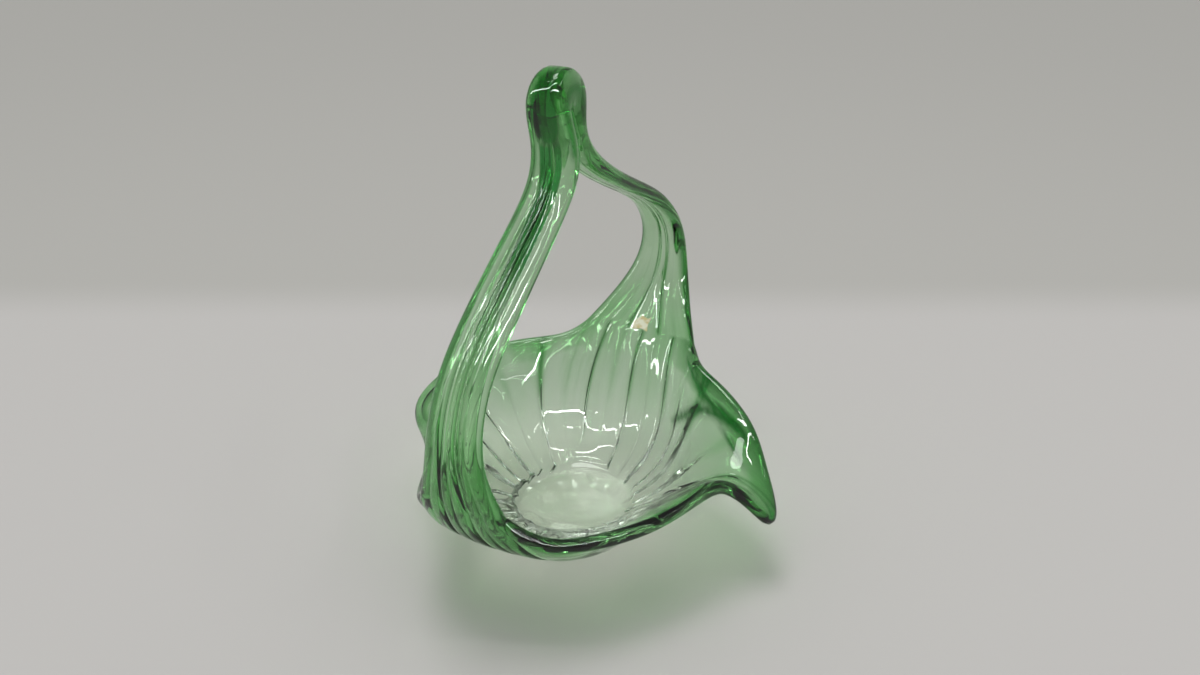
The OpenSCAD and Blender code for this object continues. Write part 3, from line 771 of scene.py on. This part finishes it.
# %% Colours and nodes
def colour(code):
    """Linear RGBA of an sRGB hex value: c/12.92 up to .04045, and ((c + .055)/1.055)^2.4 above."""
    c = np.array([int(code[k:k + 2], 16) for k in (1, 3, 5)]) / 255
    return (*np.where(c <= .04045, c / 12.92, ((c + .055) / 1.055) ** 2.4), 1.0)


def add(tree, kind, settings=None, inputs=None):
    """Adds a node with its settings, and gives its inputs values or links them to other sockets."""
    made = tree.nodes.new(kind)
    for key, value in (settings or {}).items():
        setattr(made, key, value)
    for key, value in (inputs or {}).items():
        socket = made.inputs[key] if isinstance(key, int) else next(
            s for s in made.inputs if s.enabled and s.name == key)
        if isinstance(value, bpy.types.NodeSocket):
            tree.links.new(value, socket)
        else:
            socket.default_value = value
    return made


def new_material(name):
    """An empty node material and its node tree."""
    made = bpy.data.materials.new(name)
    made.use_nodes = True
    made.node_tree.nodes.clear()
    return made, made.node_tree


# %% Soda-lime glass, fire-polished, green over clear
# Fire-polished means melted smooth: no roughness, sharp highlights and a soft, wavy surface.
CLEAR_GLASS = colour("#EBF2EA")
GREEN_GLASS = colour("#8ACB88")
DEEP_GLASS_AND_SHADE = colour("#0C6E1C")
# Edge tints, partly painted shade: the colours the glass turns to where it is seen edge on.
CLEAR_EDGE_SHADE = colour("#93AA98")
GREEN_EDGE_SHADE = colour("#35A84C")
ABSORBED = colour("#3CF914")
CLEAR_PER_M = 1
GREEN_PER_M = 26
STREAK_MM = 4
STREAK_RUN = 22
THIRD_WAY_MM = 200
RIPPLE_MM = 28
glass, tree = new_material("soda_lime_glass_fire_polished")
place = add(tree, "ShaderNodeTexCoord")
share = add(tree, "ShaderNodeAttribute", {"attribute_name": "green"})
dark = add(tree, "ShaderNodeAttribute", {"attribute_name": "deep"})
way = add(tree, "ShaderNodeAttribute", {"attribute_name": "drawn"})
streak_map = add(tree, "ShaderNodeMapping", None, {
    "Vector": way.outputs["Vector"], "Scale": (1 / STREAK_MM, 1 / STREAK_MM / STREAK_RUN, 1 / THIRD_WAY_MM)})
streak = add(tree, "ShaderNodeTexNoise", None, {
    "Vector": streak_map.outputs["Vector"], "Scale": 1.0, "Detail": 3.0, "Roughness": .6})
sharp = add(tree, "ShaderNodeMapRange", None, {
    "Value": streak.outputs["Fac"], "From Min": .35, "From Max": .7, "To Min": .7, "To Max": 1.2})
depth_of = add(tree, "ShaderNodeMath", {"operation": "MULTIPLY", "use_clamp": True}, {
    0: share.outputs["Fac"], 1: sharp.outputs["Result"]})
tint = add(tree, "ShaderNodeMix", {"data_type": "RGBA"}, {
    "Factor": depth_of.outputs["Value"], "A": CLEAR_GLASS, "B": GREEN_GLASS})
# The deep share holds the glass's own deep green and also painted shade along the creases.
deeper = add(tree, "ShaderNodeMix", {"data_type": "RGBA"}, {
    "Factor": dark.outputs["Fac"], "A": tint.outputs["Result"], "B": DEEP_GLASS_AND_SHADE})
# Partly painted shade: where the glass is seen edge on, the colour turns to a darker edge tint. It stands in
# for the longer way through the glass and for the dark edges that refraction shows.
grazing = add(tree, "ShaderNodeLayerWeight", None, {"Blend": .5})
edge_on = add(tree, "ShaderNodeMapRange", {"interpolation_type": "SMOOTHSTEP"}, {
    "Value": grazing.outputs["Facing"], "From Min": .76, "From Max": .98, "To Max": .85})
edge_shade_tint = add(tree, "ShaderNodeMix", {"data_type": "RGBA"}, {
    "Factor": share.outputs["Fac"], "A": CLEAR_EDGE_SHADE, "B": GREEN_EDGE_SHADE})
shade_outlined = add(tree, "ShaderNodeMix", {"data_type": "RGBA"}, {
    "Factor": edge_on.outputs["Result"], "A": deeper.outputs["Result"], "B": edge_shade_tint.outputs["Result"]})
ripple_map = add(tree, "ShaderNodeMapping", None, {
    "Vector": place.outputs["Object"], "Scale": (1 / MM / RIPPLE_MM,) * 3})
ripples = add(tree, "ShaderNodeTexNoise", None, {
    "Vector": ripple_map.outputs["Vector"], "Scale": 1.0, "Detail": 1.0})
wavy = add(tree, "ShaderNodeBump", None, {
    "Height": ripples.outputs["Fac"], "Strength": .5, "Distance": 1.4 * MM})
drawn_wavy = add(tree, "ShaderNodeBump", None, {
    "Height": streak.outputs["Fac"], "Strength": .12, "Distance": .3 * MM, "Normal": wavy.outputs["Normal"]})
body = add(tree, "ShaderNodeBsdfPrincipled", None, {
    "Base Color": shade_outlined.outputs["Result"], "Roughness": 0.0, "IOR": 1.52, "Transmission Weight": 1.0,
    "Normal": drawn_wavy.outputs["Normal"]})

# %% What a lamp's light keeps on its way through
# A path tracer finds lamps through bent glass only by luck, so shadow rays go straight through. They
# lose most where the glass is seen edge on, which draws the ribs and the foot into the shadow.
LETS_CLEAR = colour("#BCB9B5")
LETS_GREEN = colour("#84A474")
LETS_EDGE = colour("#3A5036")
facing = add(tree, "ShaderNodeLayerWeight", None, {"Blend": .4})
let_flat = add(tree, "ShaderNodeMix", {"data_type": "RGBA"}, {
    "Factor": share.outputs["Fac"], "A": LETS_CLEAR, "B": LETS_GREEN})
let_edge = add(tree, "ShaderNodeMix", {"data_type": "RGBA"}, {
    "Factor": facing.outputs["Facing"], "A": let_flat.outputs["Result"], "B": LETS_EDGE})
lets_light = add(tree, "ShaderNodeBsdfTransparent", None, {"Color": let_edge.outputs["Result"]})
path = add(tree, "ShaderNodeLightPath")
surface = add(tree, "ShaderNodeMixShader", None, {
    0: path.outputs["Is Shadow Ray"], 1: body.outputs["BSDF"], 2: lets_light.outputs["BSDF"]})

# %% Colour inside the glass
# The colour lies in the outer gather, so the absorption grows away from the middle of the base.
axes = add(tree, "ShaderNodeSeparateXYZ", None, {"Vector": place.outputs["Object"]})
flat = add(tree, "ShaderNodeCombineXYZ", None, {"X": axes.outputs["X"], "Y": axes.outputs["Y"]})
reach = add(tree, "ShaderNodeVectorMath", {"operation": "LENGTH"}, {0: flat.outputs["Vector"]})
by_reach = add(tree, "ShaderNodeMapRange", {"interpolation_type": "SMOOTHSTEP"}, {
    "Value": reach.outputs["Value"], "From Min": 68 * MM, "From Max": 112 * MM})
by_height = add(tree, "ShaderNodeMapRange", {"interpolation_type": "SMOOTHSTEP"}, {
    "Value": axes.outputs["Z"], "From Min": 50 * MM, "From Max": 110 * MM})
larger = add(tree, "ShaderNodeMath", {"operation": "MAXIMUM"}, {
    0: by_reach.outputs["Result"], 1: by_height.outputs["Result"]})
density = add(tree, "ShaderNodeMapRange", None, {
    "Value": larger.outputs["Value"], "To Min": CLEAR_PER_M, "To Max": GREEN_PER_M})
inside = add(tree, "ShaderNodeVolumeAbsorption", None, {
    "Color": ABSORBED, "Density": density.outputs["Result"]})
add(tree, "ShaderNodeOutputMaterial", None, {
    "Surface": surface.outputs["Shader"], "Volume": inside.outputs["Volume"]})
basket.data.materials.append(glass)
print("nodes in the glass:", len(tree.nodes))

# %% [markdown]
# ## Remnant of a paper label
# A scrap of an old gilt paper label is left on the bowl side of the rear arm. It is bare here. It
# follows the curve of the arm a hair above the glass, with torn edges, so it is a grid laid on the
# handle's own surface and given the thickness of paper.

# %% Label remnant
LABEL_S = .986
LABEL_X = -2
LABEL = np.array([[-.5, -.12], [-.36, .3], [-.5, .5], [0, .42], [.5, .5], [.4, .1], [.5, -.42], [.05, -.5]])
TORN = .035
TORN_WAVES = 5
OUTLINE_POINTS = 96
INWARD = np.array([1, .93, .8, .6, .4, .2])
UNDER_LIFT = .02


def label_spots(q, lift):
    """Points of the label at the shares q of its length and width, lifted off the arm's inner face."""
    s = LABEL_S + q[..., 0] * LABEL_L / HANDLE_RUN
    half_w = spline(STRAP_MM, s * SPANS)[..., 3]
    t = (LABEL_X + q[..., 1] * LABEL_W) / half_w
    e = .004
    n = unit(np.cross(strap(s + e, t) - strap(s - e, t), strap(s, t + e) - strap(s, t - e)))
    return strap(s, t) + (spline(STRAP_MM, s * SPANS)[..., 6:7] / 2 + lift) * n


corner_no = np.linspace(0, len(LABEL), OUTLINE_POINTS + 1)[:-1]
closed = np.vstack([LABEL, LABEL[:1]])
outline = np.stack([np.interp(corner_no, np.arange(len(closed)), k) for k in closed.T], 1)
random = np.random.default_rng(7)
torn = 1 - TORN * random.random(len(outline)) - TORN * np.abs(np.sin(corner_no * TORN_WAVES))
outline = outline * torn[:, None]
inward = INWARD[:, None, None] * outline[None]
top = label_spots(inward, LABEL_GAP + LABEL_T)
under = label_spots(inward, LABEL_GAP + UNDER_LIFT)
grid_no = np.arange(top[..., 0].size).reshape(top.shape[:2])
under_no = grid_no + grid_no.size
label_faces = np.vstack([quads(grid_no, wrap=True), quads(under_no, wrap=True, turn=True),
                         quads(np.stack([under_no[0], grid_no[0]]), wrap=True)])
label = new_piece("label_remnant", np.vstack([top.reshape(-1, 3), under.reshape(-1, 3)]),
                  label_faces.tolist() + [grid_no[-1, ::-1].tolist(), under_no[-1].tolist()])
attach(label, "root")
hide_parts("label")
print("label_remnant:", len(label.data.polygons), "faces")

# %% [markdown]
# ## Gilt label paper, worn
# Thin clay-coated paper with a bronze-gilt face. Most of the gilding has rubbed off, which leaves a
# blotchy mix of dull gold and cream with bare torn fibre at the edge, and no print.

# %% Gilt paper
# Rubbed gilding gives the eye uneven warm patches, a few satin, the rest matt.
GILT = colour("#D6C58C")
BARE_PAPER = colour("#F3EEDA")
BLOTCH_MM = 3.5
FIBRE_MM = .25
paper, tree = new_material("gilt_label_paper_rubbed")
place = add(tree, "ShaderNodeTexCoord")
blotch_map = add(tree, "ShaderNodeMapping", None, {
    "Vector": place.outputs["Object"], "Scale": (1 / MM / BLOTCH_MM,) * 3})
blotch = add(tree, "ShaderNodeTexNoise", None, {
    "Vector": blotch_map.outputs["Vector"], "Scale": 1.0, "Detail": 5.0, "Roughness": .65})
rubbed = add(tree, "ShaderNodeMapRange", {"interpolation_type": "SMOOTHSTEP"}, {
    "Value": blotch.outputs["Fac"], "From Min": .44, "From Max": .56})
tone = add(tree, "ShaderNodeMix", {"data_type": "RGBA"}, {
    "Factor": rubbed.outputs["Result"], "A": GILT, "B": BARE_PAPER})
rough = add(tree, "ShaderNodeMapRange", None, {
    "Value": rubbed.outputs["Result"], "To Min": .38, "To Max": .8})
fibre_map = add(tree, "ShaderNodeMapping", None, {
    "Vector": place.outputs["Object"], "Scale": (1 / MM / FIBRE_MM,) * 3})
fibre = add(tree, "ShaderNodeTexNoise", None, {
    "Vector": fibre_map.outputs["Vector"], "Scale": 1.0, "Detail": 2.0})
fibres = add(tree, "ShaderNodeBump", None, {
    "Height": fibre.outputs["Fac"], "Strength": .5, "Distance": .05 * MM})
sheet = add(tree, "ShaderNodeBsdfPrincipled", None, {
    "Base Color": tone.outputs["Result"], "Roughness": rough.outputs["Result"],
    "Normal": fibres.outputs["Normal"]})
add(tree, "ShaderNodeOutputMaterial", None, {"Surface": sheet.outputs["BSDF"]})
label.data.materials.append(paper)
print("nodes in the paper:", len(tree.nodes))

# %% [markdown]
# ## Table, wall tone and light
# The picture shows a pale table and a slightly darker wall that meet in a soft line. A wall piece
# would stand in the way of the other views, so the table is one large disc whose colour changes in
# a soft step where that line lies. Clear glass shows nothing but what is round it, so the sky is a
# plain grey that gets darker overhead, with long narrow lamps that draw the white strokes.

# %% Table
FLOOR_R = 4
FLOOR_Z = -.2
STEP_AT = .345
STEP_SOFT = .05
DISC_POINTS = 96
turns = np.linspace(0, 2 * np.pi, DISC_POINTS + 1)[:-1]
disc = np.column_stack([FLOOR_R * np.cos(turns), FLOOR_R * np.sin(turns), np.full(len(turns), FLOOR_Z * MM)])
table = new_piece("table", disc / MM, [list(range(len(disc)))])
VIEW_AZ = 30
away = np.array([-np.sin(np.radians(VIEW_AZ)), np.cos(np.radians(VIEW_AZ)), 0])
NEAR_TONE = colour("#C4C2BF")
FAR_TONE = colour("#B6B5B0")
top_coat, tree = new_material("matt_painted_board")
place = add(tree, "ShaderNodeTexCoord")
far = add(tree, "ShaderNodeVectorMath", {"operation": "DOT_PRODUCT"}, {
    0: place.outputs["Object"], 1: tuple(away)})
step = add(tree, "ShaderNodeMapRange", {"interpolation_type": "SMOOTHSTEP"}, {
    "Value": far.outputs["Value"], "From Min": STEP_AT - STEP_SOFT, "From Max": STEP_AT + STEP_SOFT})
board = add(tree, "ShaderNodeMix", {"data_type": "RGBA"}, {
    "Factor": step.outputs["Result"], "A": NEAR_TONE, "B": FAR_TONE})
matt = add(tree, "ShaderNodeBsdfPrincipled", None, {"Base Color": board.outputs["Result"], "Roughness": .9})
add(tree, "ShaderNodeOutputMaterial", None, {"Surface": matt.outputs["BSDF"]})
table.data.materials.append(top_coat)
print("table", 2 * FLOOR_R, "m across")

# %% Sky
AMBIENT = .54
OVERHEAD = colour("#8E908E")
world = bpy.data.worlds.new("studio")
bpy.context.scene.world = world
world.use_nodes = True
tree = world.node_tree
tree.nodes.clear()
place = add(tree, "ShaderNodeTexCoord")
axes = add(tree, "ShaderNodeSeparateXYZ", None, {"Vector": place.outputs["Generated"]})
height = add(tree, "ShaderNodeMapRange", {"interpolation_type": "SMOOTHSTEP"}, {
    "Value": axes.outputs["Z"], "From Min": .1, "From Max": .8})
seen = add(tree, "ShaderNodeMix", {"data_type": "RGBA"}, {
    "Factor": height.outputs["Result"], "A": FAR_TONE, "B": OVERHEAD})
shown = add(tree, "ShaderNodeBackground", None, {"Color": seen.outputs["Result"]})
lights = add(tree, "ShaderNodeBackground", None, {"Color": colour("#FFFFFF"), "Strength": AMBIENT})
path = add(tree, "ShaderNodeLightPath")
camera_glossy = add(tree, "ShaderNodeMath", {"operation": "MAXIMUM"}, {
    0: path.outputs["Is Camera Ray"], 1: path.outputs["Is Glossy Ray"]})
any_seen = add(tree, "ShaderNodeMath", {"operation": "MAXIMUM"}, {
    0: camera_glossy.outputs["Value"], 1: path.outputs["Is Transmission Ray"]})
both = add(tree, "ShaderNodeMixShader", None, {
    0: any_seen.outputs["Value"], 1: lights.outputs["Background"], 2: shown.outputs["Background"]})


def counted(tree):
    """0 for a ray that left matt ground and then went through glass, and 1 for all others. Shadow
    rays already bring that light through the glass, so it would count twice."""
    rays = add(tree, "ShaderNodeLightPath")
    return add(tree, "ShaderNodeMath", {"operation": "SUBTRACT", "use_clamp": True}, {
        0: 1.0, 1: add(tree, "ShaderNodeMath", {"operation": "MULTIPLY", "use_clamp": True}, {
            0: rays.outputs["Is Transmission Ray"], 1: rays.outputs["Diffuse Depth"]}).outputs["Value"]
    }).outputs["Value"]


nothing = add(tree, "ShaderNodeBackground", None, {"Strength": 0.0})
once = add(tree, "ShaderNodeMixShader", None, {
    0: counted(tree), 1: nothing.outputs["Background"], 2: both.outputs["Shader"]})
add(tree, "ShaderNodeOutputWorld", None, {"Surface": once.outputs["Shader"]})


# %% Lamps
def lamp(name, kind, at, power, size=None, along=None, only_shine=False):
    """A sun or a rectangular area lamp that faces the basket from a place in metres, its length
    laid along a direction. With only_shine, polished surfaces show it and matt ones don't."""
    data = bpy.data.lights.new(name, kind)
    data.energy = power
    if kind == "AREA":
        data.shape = "RECTANGLE"
        data.size, data.size_y = size
    data.use_nodes = True
    tree = data.node_tree
    tree.nodes.clear()
    shine = add(tree, "ShaderNodeEmission", None, {"Strength": counted(tree)})
    add(tree, "ShaderNodeOutputLight", None, {"Surface": shine.outputs["Emission"]})
    made = bpy.data.objects.new(name, data)
    bpy.context.scene.collection.objects.link(made)
    back = (mathutils.Vector(at) - mathutils.Vector((0, 0, .1))).normalized()
    wide = mathutils.Vector(along or (1, 0, 0)).normalized()
    wide = (wide - wide.dot(back) * back).normalized()
    made.matrix_world = mathutils.Matrix((wide, back.cross(wide), back)).transposed().to_4x4()
    made.location = at
    made.visible_camera = False
    made.visible_diffuse = not only_shine
    return data


level_way = (float(away[1]), float(-away[0]), 0)
sun = lamp("soft_key", "SUN", (-.35, .22, 1.5), .9)
sun.angle = np.radians(24)
lamp("tube_overhead", "AREA", (-.1, -.1, 1.7), 3, (1.4, .025), level_way)
lamp("tube_front", "AREA", (-.4, -.85, 1.5), 15, (3, .06), level_way, only_shine=True)
lamp("tube_beside", "AREA", (.73, -.67, 1.25), 14, (2, .06), level_way, only_shine=True)
lamp("tube_right", "AREA", (1.3, .1, 1.3), 1.4, (1.0, .03), (-.5, .866, 0))

# %% [markdown]
# ## Camera
# The camera stands where the picture was taken: half a metre off, 26 degrees above the table and 30
# degrees to the right of the front arm, with a wide lens.

# %% Camera and colours as written
PITCH = 26
DISTANCE = .545
LENS_MM = 28.5
SENSOR_MM = 36
AIM = mathutils.Vector((.0186, .0108, .128))
level = DISTANCE * np.cos(np.radians(PITCH))
camera = bpy.data.objects.new("camera", bpy.data.cameras.new("camera"))
bpy.context.scene.collection.objects.link(camera)
camera.location = AIM + mathutils.Vector((*(-away[:2] * level), DISTANCE * np.sin(np.radians(PITCH))))
camera.rotation_euler = (AIM - camera.location).to_track_quat("-Z", "Y").to_euler()
camera.data.lens = LENS_MM
camera.data.sensor_width = SENSOR_MM
bpy.context.scene.camera = camera
bpy.context.scene.view_settings.view_transform = "Standard"
print("camera at", [round(k, 3) for k in camera.location])
